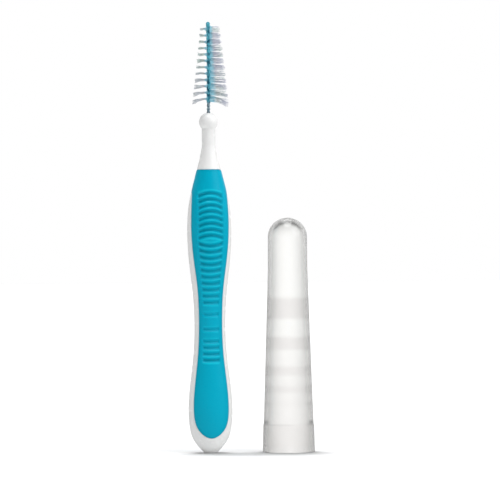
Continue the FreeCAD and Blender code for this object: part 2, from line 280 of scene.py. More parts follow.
def opening_out(edge, reach, count):
    """Heights from an edge up, close together there and ever wider apart."""
    return edge + reach * (1 - np.cos(np.linspace(0, math.pi / 2, count)))


# Handle core: foot, white edges, the pockets under the grip, shoulder, neck and ball

EDGE_COLUMNS = 20
PANEL_COLUMNS = 60
EDGE_ROUND = 0.1
FOOT_ROUND = 0.2
GRIP_THICKNESS = 1.2
SLEEVE_THICKNESS = 0.6
THINNING_LENGTH = GRIP_THICKNESS * 3
HIDDEN_CLEARANCE = 0.02
NECK_FILLET = 0.3
BALL_RADIUS = 1.69
BORE_RADIUS = 0.36
BORE_ROUND = 0.1
BORE_SPARE = 0.03

# How near to the panel's outline, or under the sleeve's start, a point counts as on it
ON_EDGE = 0.002

# Distances between rings, the stretch under the sleeve that has the closest ones, how far under the
# shoulder the pocket's last one lies, and numbers of rings
FINE_STEP = 0.15
MIDDLE_STEP = 0.25
WIDE_STEP = 0.3
NECK_STEP = 0.4
SLEEVE_STEP = 0.06
SLEEVE_REACH = 1
SHOULDER_GAP = 0.01
FOOT_RINGS = 8
PANEL_END_RINGS = 26
FILLET_RINGS = 10
BALL_RINGS = 60
BORE_RINGS = 6

ball_height = core_top - BALL_RADIUS
bore_end = wire_bottom - BORE_SPARE


def grip_thickness(height):
    """How deep the grip goes into the core: less in the sleeve than in the panels."""
    return np.interp(height, [sleeve_low - THINNING_LENGTH, grip_top], [GRIP_THICKNESS, SLEEVE_THICKNESS])


def core_angles(height):
    """Angles of a ring's columns: right edge, back panel, left edge and front panel."""
    half = float(half_width(height))
    corner = math.acos(min(float(panel_half_width(height)), half) / half)
    edge = corner * (2 * clustered(EDGE_COLUMNS)[:-1] - 1)
    panel = corner + (math.pi - 2 * corner) * clustered(PANEL_COLUMNS)[:-1]
    return np.concatenate([edge, panel, edge + math.pi, panel + math.pi])


def core_form_rings():
    """Rings from the foot to the start of the straight neck."""
    heights = np.concatenate(
        [
            opening_out(0, FOOT_ROUND, FOOT_RINGS),
            steps_between(FOOT_ROUND, panel_end - EDGE_ROUND, FINE_STEP)[1:-1],
            closing_in(panel_end, -EDGE_ROUND),
            opening_out(panel_end, edges_low - panel_end, PANEL_END_RINGS)[1:],
            steps_between(edges_low, sleeve_low - SLEEVE_REACH, MIDDLE_STEP)[1:],
            steps_between(sleeve_low - SLEEVE_REACH, sleeve_low, SLEEVE_STEP)[1:],
            steps_between(sleeve_low, grip_top - SHOULDER_GAP, WIDE_STEP)[1:],
            closing_in(grip_top, EDGE_ROUND)[::-1],
            steps_between(grip_top + EDGE_ROUND, handle_length, FINE_STEP)[1:],
        ]
    )
    rings = []
    for height in heights:
        angles = core_angles(height)
        x = float(half_width(height)) * np.cos(angles)
        distance = outline_distance(x, np.full_like(x, height))
        drop = corner_drop(np.maximum(distance, 0), EDGE_ROUND)
        drop = np.where(distance < -ON_EDGE, grip_thickness(height) + HIDDEN_CLEARANCE, drop)
        drop = drop + corner_drop(height, FOOT_ROUND)
        rings.append(ring(angles, half_width(height) - drop, half_depth(height) - drop, height))
    return rings


def neck_profile():
    """Radius and height from the neck over the fillet and the ball, and down the bore to its end."""
    neck = HALF_WIDTHS["neck"]
    fillet_radius = neck + NECK_FILLET
    fillet_height = ball_height - math.sqrt((BALL_RADIUS + NECK_FILLET) ** 2 - fillet_radius**2)
    meeting = math.atan2(ball_height - fillet_height, fillet_radius)
    lip_radius = BORE_RADIUS + BORE_ROUND
    crown = math.acos(lip_radius / BALL_RADIUS)
    profile = [(neck, z) for z in steps_between(handle_length, fillet_height, NECK_STEP)[1:-1]]
    profile += arc(fillet_radius, fillet_height, NECK_FILLET, math.pi, math.pi - meeting, FILLET_RINGS)
    profile += arc(0, ball_height, BALL_RADIUS, -meeting, crown, BALL_RINGS)[1:]
    lip_height = profile[-1][1] - BORE_ROUND
    profile += arc(lip_radius, lip_height, BORE_ROUND, math.pi / 2, math.pi, BORE_RINGS)[1:]
    profile += [(BORE_RADIUS, z) for z in np.linspace(lip_height, bore_end, BORE_RINGS)[1:]]
    return profile


def handle_core(material):
    rings = core_form_rings()
    angles = core_angles(handle_length)
    rings += [ring(angles, radius, radius, height) for radius, height in neck_profile()]
    faces = tube_faces(len(rings), len(angles))
    return mesh_object("moulded_core", np.concatenate(rings), faces, material)


# Grip: two ribbed panels that meet in a sleeve under the shoulder

GRIP_COLUMNS = 72
GRIP_PROUD = 0.03
GRIP_ROUND = 0.14
PROUD_REACH = GRIP_ROUND * 3
SEAM_GAP = 0.015
RIB_PITCH = 1.08
GROOVE_DEPTH = 0.4
GROOVE_HALF_LENGTH = 2.4
GROOVE_RISE = 0.72
GROOVE_END = 0.35
GROOVE_FULLNESS = 0.75

# Painted light on the grip: how far from a groove's middle the painted highlight on its ribs reaches, in
# halves of its width, and how wide and how dark the painted shade along the rim is
RIB_HIGHLIGHT_REACH = 2.0
RIM_SHADE_WIDTH = 0.9
RIM_SHADE = 0.5

# The stretch with the closest rings, their distance and that over it, and the rings at the lower end
RIBBED_SHARES = (0.29, 0.86)
RIB_STEP = 0.085
TOP_STEP = 0.2
GRIP_END_RINGS = 30

# Share of the handle's length at a group's first groove, how many there are, the step to the next as a share
# of the pitch, and for the first and the last one the shares of half length, rise, depth, and pitch as width
RIB_GROUP_SHARES = [
    (0.8463, 8, 1.0, (1.0, 1.0), (1.0, 0.75), (1.0, 1.0), (0.97, 0.97)),
    (0.6752, 10, 1.045, (1.0, 0.68), (-0.75, -0.1), (1.0, 0.8), (1.0, 1.0)),
    (0.4512, 2, 2.46, (0.66, 0.68), (-0.1, -0.1), (0.6, 0.65), (0.9, 0.9)),
    (0.3636, 4, 1.033, (0.7, 0.72), (-0.1, -0.1), (0.7, 0.9), (0.95, 0.95)),
]


def grooves():
    """Height, half length, rise, depth and width of every groove."""
    found = []
    for first, count, step, *ends in RIB_GROUP_SHARES:
        for number in range(count):
            share = number / (count - 1)
            length, rise, depth, width = (low + (high - low) * share for low, high in ends)
            found.append(
                (
                    handle_length * first - RIB_PITCH * step * number,
                    GROOVE_HALF_LENGTH * length,
                    GROOVE_RISE * rise,
                    GROOVE_DEPTH * depth,
                    RIB_PITCH * width,
                )
            )
    return found


def eased(share):
    """The share, kept between 0 and 1 and eased at both."""
    share = np.clip(share, 0, 1)
    return share * share * (3 - 2 * share)


def groove_drop(x, height, all_grooves):
    """How far the grooves lie under the surface along a ring, and the ring's painted light, -1 to 1: painted
    shade in a groove and a painted highlight on the ribs beside it.
    """
    drop, groove_shade, rib_highlight = np.zeros_like(x), np.zeros_like(x), np.zeros_like(x)
    for middle, half_length, rise, depth, width in all_grooves:
        if abs(height - middle) > abs(rise) + width:
            continue
        radius = (half_length**2 + rise**2) / (2 * rise)
        upright = np.sqrt(np.maximum(radius**2 - x**2, 0))
        arc_height = middle - radius + math.copysign(1, radius) * upright
        across = (height - arc_height) * upright / abs(radius)
        profile = (0.5 + 0.5 * np.cos(math.pi * np.clip(2 * across / width, -1, 1))) ** GROOVE_FULLNESS
        ends = eased((half_length - np.abs(x)) / GROOVE_END)
        drop = np.maximum(drop, depth * profile * ends)
        # Painted shade in the groove and a painted highlight on the ribs beside it, both fading like the
        # groove at its ends
        strength = ends * depth / GROOVE_DEPTH
        groove_shade = np.maximum(groove_shade, strength * profile)
        rib_highlight = np.maximum(rib_highlight, strength * eased(RIB_HIGHLIGHT_REACH - np.abs(across) / width * 2))
    return drop, rib_highlight * (1 - groove_shade) - groove_shade


def grip_heights():
    start = float(np.interp(SEAM_GAP, outline[:-2, 0], outline[:-2, 1]))
    rib_low, rib_high = (handle_length * share for share in RIBBED_SHARES)
    return np.concatenate(
        [
            opening_out(start, edges_low - start, GRIP_END_RINGS),
            steps_between(edges_low, rib_low, WIDE_STEP)[1:],
            steps_between(rib_low, sleeve_low, RIB_STEP)[1:],
            steps_between(sleeve_low, rib_high, RIB_STEP)[1:],
            steps_between(rib_high, grip_top - GRIP_ROUND, TOP_STEP)[1:-1],
            closing_in(grip_top - HIDDEN_CLEARANCE, -GRIP_ROUND),
        ]
    )


def grip_panel():
    """Points of the back panel, ring after ring, out along the surface and back along the inside,
    and their painted light: painted shade in the grooves and along the rim, and painted highlights on the
    ribs."""
    all_grooves = grooves()
    rings, painted_lights = [], []
    heights = grip_heights()
    for height in heights:
        half = float(half_width(height))
        reach = max(0.0, float(panel_half_width(height)) - SEAM_GAP)
        corner = 0.0 if height >= sleeve_low else math.acos(min(reach, half) / half)
        angles = corner + (math.pi - 2 * corner) * clustered(GRIP_COLUMNS)
        x = half * np.cos(angles)
        distance = -outline_distance(x, np.full_like(x, height))
        rise = GRIP_PROUD * eased(distance / PROUD_REACH)
        drop, painted_light = groove_drop(x, height, all_grooves)
        rise -= corner_drop(np.maximum(distance, 0), GRIP_ROUND) + drop
        # Painted shade along the panel's rim
        painted_light -= RIM_SHADE * eased(1 - distance / RIM_SHADE_WIDTH)
        outer = ring(angles, half + rise, half_depth(height) + rise, height)
        inside = grip_thickness(height) - HIDDEN_CLEARANCE
        inner = ring(angles[::-1], half - inside, half_depth(height) - inside, height)
        rings.append(np.concatenate([outer, inner]))
        painted_lights.append(np.concatenate([painted_light, np.zeros(len(inner))]))
    return np.concatenate(rings), np.concatenate(painted_lights), heights


def rubber_grip(material):
    panel, painted_light, heights = grip_panel()
    ring_size = 2 * (GRIP_COLUMNS + 1)
    walls = (GRIP_COLUMNS, ring_size - 1)
    faces = []
    for number, height in enumerate(heights[:-1]):
        band = band_faces(number * ring_size, (number + 1) * ring_size, ring_size)
        in_sleeve = height >= sleeve_low - ON_EDGE
        faces += [face for column, face in enumerate(band) if not (in_sleeve and column in walls)]
    last = (len(heights) - 1) * ring_size
    for column in range(GRIP_COLUMNS):
        across = ring_size - 1 - column
        faces.append((last + column, last + column + 1, last + across - 1, last + across))
    front = panel * (1, -1, 1)
    front_faces = [tuple(len(panel) + corner for corner in reversed(face)) for face in faces]
    return mesh_object(
        "ribbed_grip",
        np.vstack([panel, front]),
        faces + front_faces,
        material,
        np.concatenate([painted_light, painted_light]),
    )


# Wire: one strand folded in half, both legs twisted about each other

# The strand's radius and its distance from the axis, in the bare stem and in the brush
STEM_RADIUS, BRUSH_RADIUS = 0.155, 0.225
STEM_DISTANCE, BRUSH_DISTANCE = 0.165, 0.14
STEM_LENGTH = 1.9
STEM_PITCH = 1.26
BRUSH_PITCH = 2.28
ROW_COUNT = len(row_nodes)
BOW, TIP_LEAN = 0.12, 0.02
STRAND_SIDES = 14
STEM_TURN_STEPS = 28
BRUSH_TURN_STEPS = 36
FOLD_STEPS = 17

brush_start = core_top + STEM_LENGTH
brush_end = brush_start + ROW_COUNT * BRUSH_PITCH / 2
fold_start = wire_top - BRUSH_DISTANCE - BRUSH_RADIUS


def twist_angle(height):
    """Turn of the legs about each other, from the brush's start."""
    pitch = STEM_PITCH if height < brush_start else BRUSH_PITCH
    return 2 * math.pi * (min(height, brush_end) - brush_start) / pitch


def lean(points):
    """The head's slight bow towards +X."""
    share = np.clip((points[:, 2] - core_top) / (wire_top - core_top), 0, 1)
    bowed = points.copy()
    bowed[:, 0] += BOW * np.sin(math.pi * share) + TIP_LEAN * share**2
    return bowed


def brush_share(heights):
    """0 along the bare stem and 1 in the brush, where the legs lie closer and have a thicker coat."""
    return eased((heights - brush_start) / STEM_PITCH + 0.5)


def wire_line():
    """The strand's line, up one leg, round the fold and down the other, and its radius along it."""
    stem = np.arange(wire_bottom, brush_start, STEM_PITCH / STEM_TURN_STEPS)
    brush = np.arange(brush_start, fold_start, BRUSH_PITCH / BRUSH_TURN_STEPS)
    heights = np.concatenate([stem, brush])
    angles = np.array([twist_angle(height) for height in heights])
    share = brush_share(heights)
    reach = STEM_DISTANCE + (BRUSH_DISTANCE - STEM_DISTANCE) * share
    leg = np.stack([reach * np.cos(angles), reach * np.sin(angles), heights], axis=1)
    end = twist_angle(fold_start)
    fold = [
        (
            BRUSH_DISTANCE * math.cos(end) * math.cos(turn),
            BRUSH_DISTANCE * math.sin(end) * math.cos(turn),
            fold_start + BRUSH_DISTANCE * math.sin(turn),
        )
        for turn in np.linspace(0, math.pi, FOLD_STEPS)
    ]
    radii = STEM_RADIUS + (BRUSH_RADIUS - STEM_RADIUS) * share
    radii = np.concatenate([radii, np.full(len(fold), BRUSH_RADIUS), radii[::-1]])
    return np.vstack([leg, fold, leg[::-1] * (-1, -1, 1)]), radii


def tube_points(line, radii, sides):
    """Rings of a tube along a line that doesn't start upright, each square to it and turned as little
    as possible."""
    directions = np.gradient(line, axis=0)
    directions /= np.linalg.norm(directions, axis=1)[:, None]
    side = np.cross(directions[0], (0.0, 0.0, 1.0))
    turns = np.linspace(0, 2 * math.pi, sides, endpoint=False)
    rings = []
    for centre, direction, radius in zip(line, directions, radii):
        side = side - direction * side.dot(direction)
        side /= np.linalg.norm(side)
        other = np.cross(direction, side)
        rings.append(centre + radius * (np.cos(turns)[:, None] * side + np.sin(turns)[:, None] * other))
    return np.concatenate(rings)


def twisted_wire(material):
    line, radii = wire_line()
    points = tube_points(lean(line), radii, STRAND_SIDES)
    faces = tube_faces(len(line), STRAND_SIDES)
    return mesh_object("wire_pair", points, faces, material)


# Filaments: each runs through the wire and out on both sides; on the left they gather in tufts

FILAMENTS_PER_ROW = 34
FILAMENT_RADIUS = 0.027
FILAMENT_SIDES = 6
FILAMENT_STEPS = 18

# Mean reach at the brush's tip and at its base; then for either side what is added to it, how ragged it is,
# the share of a half turn that it fans over, and how far the tips droop in the lowest rows
TIP_REACH = 1.78
BASE_REACH = 3.27
LEFT_REACH_SHIFT, RIGHT_REACH_SHIFT = -0.3, 0.35
LEFT_RAGGEDNESS, RIGHT_RAGGEDNESS = 0.15, 0.5
LEFT_FAN, RIGHT_FAN = 0.4, 0.3
LEFT_DROOP, RIGHT_DROOP = 0.6, 0.95
LEFT_DROOP_POWER, RIGHT_DROOP_POWER = 6, 5
DROOP_RANGE = (0.2, 1.3)
DROOP_CURVE = 2.2

# Tufts on the left: how far out they have gathered, their height, their fork and their wave
TUFT_OUT = 0.8
TUFT_HALF_HEIGHT = 0.17
TUFT_FORK = 0.42
TOP_FORK_SHARE = 0.3
TUFT_WAVE = 0.07
TUFT_WAVE_SHARES = (0.4, 1)

# Clumps on the right: how many a row has, how far they draw its filaments together, and the waves there
CLUMPS = 4
TOP_CLUMP_PULL, BASE_CLUMP_PULL = 0.3, 0.6
WAVE = 0.07
WAVE_LENGTH = 1.5


def filament_side(out, azimuth, start, reach, target, droop, wave):
    """Points of one side, from the wire to the tip. The filament bends from its own height to the
    target's over the distance out; the wave gives its height, its sway sideways and its phase."""
    share = np.linspace(0, 1, FILAMENT_STEPS)
    up, sway, phase = wave
    along = reach * share
    turn = 2 * math.pi * along / WAVE_LENGTH + phase
    height = start + (target - start) * eased(along / out) + droop * share**DROOP_CURVE
    sideways = sway * share * np.cos(turn)
    direction = np.array((math.cos(azimuth), math.sin(azimuth), 0.0))
    across = np.array((-direction[1], direction[0], 0.0))
    points = along[:, None] * direction + sideways[:, None] * across
    points[:, 2] = height + up * share * np.sin(turn)
    return points


def filament_row(number, node, material):
    dice = random.Random(number + 1)
    down_share = number / (ROW_COUNT - 1)
    middle = brush_end - (number + 0.5) * BRUSH_PITCH / 2
    mean_reach = TIP_REACH + (BASE_REACH - TIP_REACH) * down_share
    fork = TUFT_FORK * dice.random() * (TOP_FORK_SHARE + (1 - TOP_FORK_SHARE) * down_share)
    tuft_wave = TUFT_WAVE * dice.uniform(*TUFT_WAVE_SHARES), 0.0, dice.uniform(0, 2 * math.pi)
    pull = TOP_CLUMP_PULL + (BASE_CLUMP_PULL - TOP_CLUMP_PULL) * down_share**2
    clumps = [(place + dice.random()) / CLUMPS - 0.5 for place in range(CLUMPS)]
    points, faces = [], []
    for place in range(FILAMENTS_PER_ROW):
        off_middle = (place + 0.5) / FILAMENTS_PER_ROW - 0.5
        start = middle + off_middle * BRUSH_PITCH / 2
        angle = off_middle * math.pi
        prong = fork if dice.random() < 0.5 else -fork
        left = filament_side(
            TUFT_OUT,
            math.pi + angle * LEFT_FAN,
            start,
            mean_reach + LEFT_REACH_SHIFT - LEFT_RAGGEDNESS * dice.random() ** 2,
            middle + dice.uniform(-1, 1) * TUFT_HALF_HEIGHT,
            prong - LEFT_DROOP * down_share**LEFT_DROOP_POWER,
            tuft_wave,
        )
        clump = min(clumps, key=lambda centre: abs(centre - off_middle))
        reach = mean_reach + RIGHT_REACH_SHIFT - RIGHT_RAGGEDNESS * dice.random() ** 2
        right = filament_side(
            reach,
            angle * RIGHT_FAN,
            start,
            reach,
            start + (middle + clump * BRUSH_PITCH / 2 - start) * pull,
            -RIGHT_DROOP * down_share**RIGHT_DROOP_POWER * dice.uniform(*DROOP_RANGE),
            (WAVE * dice.random(), WAVE * dice.random(), dice.uniform(0, 2 * math.pi)),
        )
        line = lean(np.vstack([left[:0:-1], right]))
        first = sum(len(chunk) for chunk in points)
        points.append(tube_points(line, np.full(len(line), FILAMENT_RADIUS), FILAMENT_SIDES))
        faces += tube_faces(len(line), FILAMENT_SIDES, first)
    piece = mesh_object(f"filaments_{number + 1:02d}", np.concatenate(points), faces, material)
    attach(piece, "brush_head")
    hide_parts(node)


# Cap: a turned shell with a collar at its mouth and rings on its inner wall

CAP_SEGMENTS = 160
CAP_COLLAR_HEIGHT = 4.9
CAP_COLLAR_STEP = 0.22
CAP_DOME_RADIUS = 3.53
CAP_KNEE_SHARE = 0.782
CAP_KNEE_RADIUS_SHARE = 1.008
CAP_WALL = 0.62
CAP_LEAST_WALL = 0.3
CAP_CROWN = 0.85
CAP_BORE_RADIUS = 4.04
CAP_LEDGE_SHARE = 0.142
CAP_RING_DEPTH = 0.05
CAP_RING_SHARES = [(0.197, 0.213), (0.251, 0.284), (0.325, 0.367), (0.436, 0.49), (0.569, 0.656)]
CAP_EDGE_ROUND = 0.14
CAP_RING_EASE = 0.45
CAP_LEDGE_EASE = 1.2

# Distances between the profile's points along the collar, its step, the wall and the hollow, how far the
# close ones go past the step, and the numbers of points round an edge and over the dome
CAP_COLLAR_SPACING = 0.8
CAP_STEP_SPACING = 0.04
CAP_WALL_SPACING = 0.5
CAP_HOLLOW_SPACING = 0.06
CAP_STEP_MARGIN = 0.1
CAP_EDGE_POINTS = 7
CAP_DOME_POINTS = 40

cap_axis = (cap_low.x + cap_high.x) / 2
cap_height = cap_high.z
cap_mouth_radius = (cap_high.x - cap_low.x) / 2
cap_step_height = CAP_COLLAR_HEIGHT + CAP_COLLAR_STEP
cap_body_radius = cap_mouth_radius - CAP_COLLAR_STEP
cap_knee_height = cap_height * CAP_KNEE_SHARE
cap_knee_radius = CAP_DOME_RADIUS * CAP_KNEE_RADIUS_SHARE
cap_ledge_height = cap_height * CAP_LEDGE_SHARE


def cap_outside_radius(height):
    """Radius of the outside below the dome."""
    return float(
        np.interp(
            height,
            [0, CAP_COLLAR_HEIGHT, cap_step_height, cap_knee_height, cap_height - CAP_DOME_RADIUS],
            [
                cap_mouth_radius,
                cap_mouth_radius - CAP_COLLAR_STEP / 2,
                cap_body_radius,
                cap_knee_radius,
                CAP_DOME_RADIUS,
            ],
        )
    )


def cap_inside_radius(height):
    """Radius of the hollow below its dome, with the ledge above the mouth and the rings."""
    climb = (height - cap_step_height) / (cap_knee_height - cap_step_height)
    outside = cap_body_radius + (cap_knee_radius - cap_body_radius) * climb
    wall = max(outside, (cap_knee_radius + CAP_DOME_RADIUS) / 2) - CAP_WALL
    over_ledge = float(eased((height - cap_ledge_height) / CAP_LEDGE_EASE + 1))
    radius = CAP_BORE_RADIUS + (wall - CAP_BORE_RADIUS) * over_ledge
    for low_share, high_share in CAP_RING_SHARES:
        rising = float(eased((height - cap_height * low_share) / CAP_RING_EASE))
        falling = float(eased((cap_height * high_share - height) / CAP_RING_EASE))
        radius -= CAP_RING_DEPTH * min(rising, falling)
    return radius


def cap_profile():
    """Radius and height along the closed section: up the outside, and down the inside."""
    outer_edge, inner_edge = cap_mouth_radius - CAP_EDGE_ROUND, CAP_BORE_RADIUS + CAP_EDGE_ROUND
    profile = arc(outer_edge, CAP_EDGE_ROUND, CAP_EDGE_ROUND, -math.pi / 2, 0, CAP_EDGE_POINTS)
    step_start, step_end = CAP_COLLAR_HEIGHT - CAP_STEP_MARGIN, cap_step_height + CAP_STEP_MARGIN
    dome_height = cap_height - CAP_DOME_RADIUS
    for height in np.concatenate(
        [
            steps_between(CAP_EDGE_ROUND, step_start, CAP_COLLAR_SPACING)[1:],
            steps_between(step_start, step_end, CAP_STEP_SPACING)[1:],
            steps_between(step_end, dome_height, CAP_WALL_SPACING)[1:],
        ]
    ):
        profile.append((cap_outside_radius(height), height))
    profile += arc(0, dome_height, CAP_DOME_RADIUS, 0, math.pi / 2, CAP_DOME_POINTS)[1:]
    hollow_top = cap_height - CAP_CROWN
    hollow_radius = CAP_DOME_RADIUS - CAP_WALL
    hollow_dome = hollow_top - hollow_radius
    profile += arc(0, hollow_dome, hollow_radius, math.pi / 2, 0, CAP_DOME_POINTS)[:-1]
    for height in steps_between(CAP_EDGE_ROUND, hollow_dome, CAP_HOLLOW_SPACING)[::-1]:
        most = cap_outside_radius(height) - CAP_LEAST_WALL
        profile.append((min(cap_inside_radius(height), most), height))
    profile += arc(
        inner_edge, CAP_EDGE_ROUND, CAP_EDGE_ROUND, math.pi, math.pi * 1.5, CAP_EDGE_POINTS
    )[1:]
    return profile


def clear_cap(material):
    profile = cap_profile()
    turns = np.linspace(0, 2 * math.pi, CAP_SEGMENTS, endpoint=False)
    points = []
    for radius, height in profile:
        circle = ring(turns, radius, radius, height)
        circle[:, 0] += cap_axis
        points.append(circle)
    faces = []
    for number in range(len(profile)):
        following = (number + 1) % len(profile)
        faces += band_faces(number * CAP_SEGMENTS, following * CAP_SEGMENTS, CAP_SEGMENTS)
    return mesh_object("turned_cap", np.concatenate(points), faces, material)


# Materials

def linear(red, green, blue):
    """A colour as it looks on a screen, 0 to 255, in the renderer's own linear values."""

    def one(value):
        value /= 255
        return value / 12.92 if value <= 0.04045 else ((value + 0.055) / 1.055) ** 2.4

    return one(red), one(green), one(blue), 1.0


# The tones between which each surface varies, and those of its marks
BLACK, WHITE = (0, 0, 0, 1), (1, 1, 1, 1)
WHITE_TONES = linear(229, 230, 230), linear(236, 236, 235)
RUBBER_TONES = linear(0, 163, 189), linear(0, 171, 198)
SPECKLE_TONE = linear(0, 158, 190)
# A rib's painted highlight and a groove's painted shade
RIB_HIGHLIGHT_TONE, GROOVE_SHADE_TONE = linear(10, 184, 207), linear(0, 145, 170)
# The stem's grey and the pale tone of its flecks of painted highlight
STEM_TONE_AND_HIGHLIGHT = linear(40, 72, 90), linear(176, 204, 216)
BRUSH_TONES = linear(14, 88, 110), linear(92, 182, 202)
LAVENDER_TONES = linear(186, 190, 208), linear(218, 221, 234)
GREY_TONES = linear(190, 202, 202), linear(218, 228, 228)
TUFT_TONES = linear(206, 210, 216), linear(198, 214, 210)
# Painted reflection of the wire's teal on the filaments near it
WIRE_REFLECTION_TONE = linear(158, 220, 238)
CAP_TONES = linear(255, 255, 254), linear(249, 248, 247)
# The cap's painted shade where it is seen edge-on
CAP_EDGE_SHADE_TONE = linear(194, 194, 192)

# The least and the most roughness of each surface, and how much the cap's frost adds
WHITE_ROUGHNESS = (0.22, 0.28)
RUBBER_ROUGHNESS = (0.27, 0.36)
WIRE_ROUGHNESS = (0.18, 0.3)
NYLON_ROUGHNESS = (0.3, 0.45)
CAP_ROUGHNESS = (0.18, 0.21)
CAP_FROST_ROUGHNESS = 0.045

# How wide the blotches and the grain of each surface are, how high its bumps stand, and the scale of a
# noise that is drawn out upwards
WHITE_BLOTCH, WHITE_SMEAR, WHITE_GRAIN, WHITE_BUMP = 6, 1.2, 0.25, 0.0007
RUBBER_BLOTCH, RUBBER_SMEAR, RUBBER_SPECKLE, RUBBER_GRAIN, RUBBER_BUMP = 5, 0.3, 0.12, 0.09, 0.006
# The wire's flecks are spots of painted highlight on the stem
WIRE_BLOTCH, WIRE_HIGHLIGHT_FLECK, WIRE_GRAIN, WIRE_BUMP = 0.6, 0.3, 0.1, 0.003
NYLON_BLOTCH, NYLON_SHADE = 3.2, 0.4
CAP_CLOUD, CAP_RIPPLE, CAP_BUMP = 0.6, 1.6, 0.009
DRAWN_OUT = (1, 1, 0.3)

# The parts of a noise, which mostly keeps to its middle, over which a change takes place
NOISE_SPAN = (0.3, 0.7)
SPECKLE_SPAN = (0.35, 0.75)
WIRE_BLOTCH_SPAN = (0.36, 0.64)
# The span of the stem's flecks of painted highlight
WIRE_HIGHLIGHT_SPAN = (0.42, 0.6)
NYLON_BLOTCH_SPAN = (0.45, 0.65)

# The parts of the grip's painted light over which it turns to a rib's painted highlight and to a groove's
# painted shade
RIB_HIGHLIGHT_SPAN = (0.2, 1.0)
GROOVE_SHADE_SPAN = (0.0, -1.0)

# Ease of the coat's start on the wire; how far out the wire's teal shows on the filaments as a painted
# reflection, on the left, and on the right at the brush's base and at its tip, and up to which share of that
# it is full; and where the filaments turn from the left side's look to the right side's
COAT_EASE = 0.25
WIRE_REFLECTION_LEFT = (-0.85, -0.35)
WIRE_REFLECTION_BASE_REACH, WIRE_REFLECTION_TIP_REACH = 1.7, 1.0
WIRE_REFLECTION_FULL_SHARE = 0.5
RIGHT_FILAMENTS = (0.05, 0.3)

# The cap's frost reaches from its mouth to over the collar's step, and its haze thins out between two
# shares of its height
CAP_COLLAR_FROST = (-0.2, 0.6)
CAP_FROST_EASE = 0.7
CAP_HAZE = 0.6
CAP_HAZE_SHARES = (0.2, 0.6)

# Places of the mix node's colour sockets, which share their names with its other sockets
MIX_FIRST, MIX_SECOND, MIX_RESULT = 6, 7, 2


class Graph:
    """Short ways to the usual nodes of one tree."""

    def __init__(self, tree, place):
        self.tree = tree
        self.place = self.node("ShaderNodeTexCoord").outputs[place]

    def node(self, kind, **settings):
        node = self.tree.nodes.new(kind)
        for name, value in settings.items():
            setattr(node, name, value)
        return node

    def link(self, source, target):
        self.tree.links.new(source, target)

    def feed(self, socket, value):
        if isinstance(value, bpy.types.NodeSocket):
            self.link(value, socket)
        else:
            socket.default_value = value

    def axis(self, name):
        split = self.node("ShaderNodeSeparateXYZ")
        self.link(self.place, split.inputs["Vector"])
        return split.outputs[name]

    def directed(self, start):
        """Makes the place a direction from the start."""
        span = self.node("ShaderNodeVectorMath", operation="SUBTRACT")
        self.link(self.place, span.inputs[0])
        span.inputs[1].default_value = start
        unit = self.node("ShaderNodeVectorMath", operation="NORMALIZE")
        self.link(span.outputs["Vector"], unit.inputs["Vector"])
        self.place = unit.outputs["Vector"]

    def span(self, source, low, high, low_value=0.0, high_value=1.0):
        """The source's low to high, smoothly turned into low_value to high_value."""
        remap = self.node("ShaderNodeMapRange", interpolation_type="SMOOTHSTEP")
        self.feed(remap.inputs["Value"], source)
        for socket, value in zip(
            ("From Min", "From Max", "To Min", "To Max"), (low, high, low_value, high_value)
        ):
            self.feed(remap.inputs[socket], value)
        return remap.outputs["Result"]

    def combined(self, operation, *values):
        node = self.node("ShaderNodeMath", operation=operation)
        for socket, value in zip(node.inputs, values):
            self.feed(socket, value)
        return node.outputs["Value"]

    def chosen(self, share, first, second):
        """A number between the first and the second one."""
        node = self.node("ShaderNodeMix")
        for socket, value in zip(("Factor", "A", "B"), (share, first, second)):
            self.feed(node.inputs[socket], value)
        return node.outputs["Result"]

    def mixed(self, share, first, second):
        """A colour between the first and the second one."""
        node = self.node("ShaderNodeMix", data_type="RGBA")
        self.feed(node.inputs["Factor"], share)
        self.feed(node.inputs[MIX_FIRST], first)
        self.feed(node.inputs[MIX_SECOND], second)
        return node.outputs[MIX_RESULT]

    def seen(self, *kinds):
        """1 for rays of these kinds."""
        path = self.node("ShaderNodeLightPath")
        found = path.outputs[f"Is {kinds[0]} Ray"]
        for kind in kinds[1:]:
            found = self.combined("MAXIMUM", found, path.outputs[f"Is {kind} Ray"])
        return found


class Finish(Graph):
    """A material around one Principled BSDF."""

    def __init__(self, name, **inputs):
        self.material = bpy.data.materials.new(name)
        self.material.use_nodes = True
        super().__init__(self.material.node_tree, "Object")
        self.shader = self.tree.nodes["Principled BSDF"]
        for socket, value in inputs.items():
            self.shader.inputs[socket.replace("_", " ")].default_value = value

    def noise(self, size, detail=3.0, roughness=0.5, stretch=(1, 1, 1)):
        """Noise whose blotches are about that many millimetres across."""
        mapping = self.node("ShaderNodeMapping")
        mapping.inputs["Scale"].default_value = stretch
        self.link(self.place, mapping.inputs["Vector"])
        texture = self.node("ShaderNodeTexNoise")
        texture.inputs["Scale"].default_value = 1 / (size * MM)
        texture.inputs["Detail"].default_value = detail
        texture.inputs["Roughness"].default_value = roughness
        self.link(mapping.outputs["Vector"], texture.inputs["Vector"])
        return texture.outputs["Fac"]

    def varied(self, noise, low_value, high_value):
        """The low to the high value, by a noise."""
        return self.span(noise, *NOISE_SPAN, low_value, high_value)

    def colour(self, source):
        self.link(source, self.shader.inputs["Base Color"])

    def roughness(self, source):
        self.link(source, self.shader.inputs["Roughness"])

    def bump(self, source, height_mm):
        node = self.node("ShaderNodeBump")
        node.inputs["Distance"].default_value = height_mm * MM
        self.link(source, node.inputs["Height"])
        self.link(node.outputs["Normal"], self.shader.inputs["Normal"])


def white_plastic():
    finish = Finish("white_plastic", IOR=1.49)
    finish.colour(finish.mixed(finish.noise(WHITE_BLOTCH, detail=2), *WHITE_TONES))
    finish.roughness(finish.varied(finish.noise(WHITE_SMEAR), *WHITE_ROUGHNESS))
    finish.bump(finish.noise(WHITE_GRAIN, detail=4), WHITE_BUMP)
    return finish.material


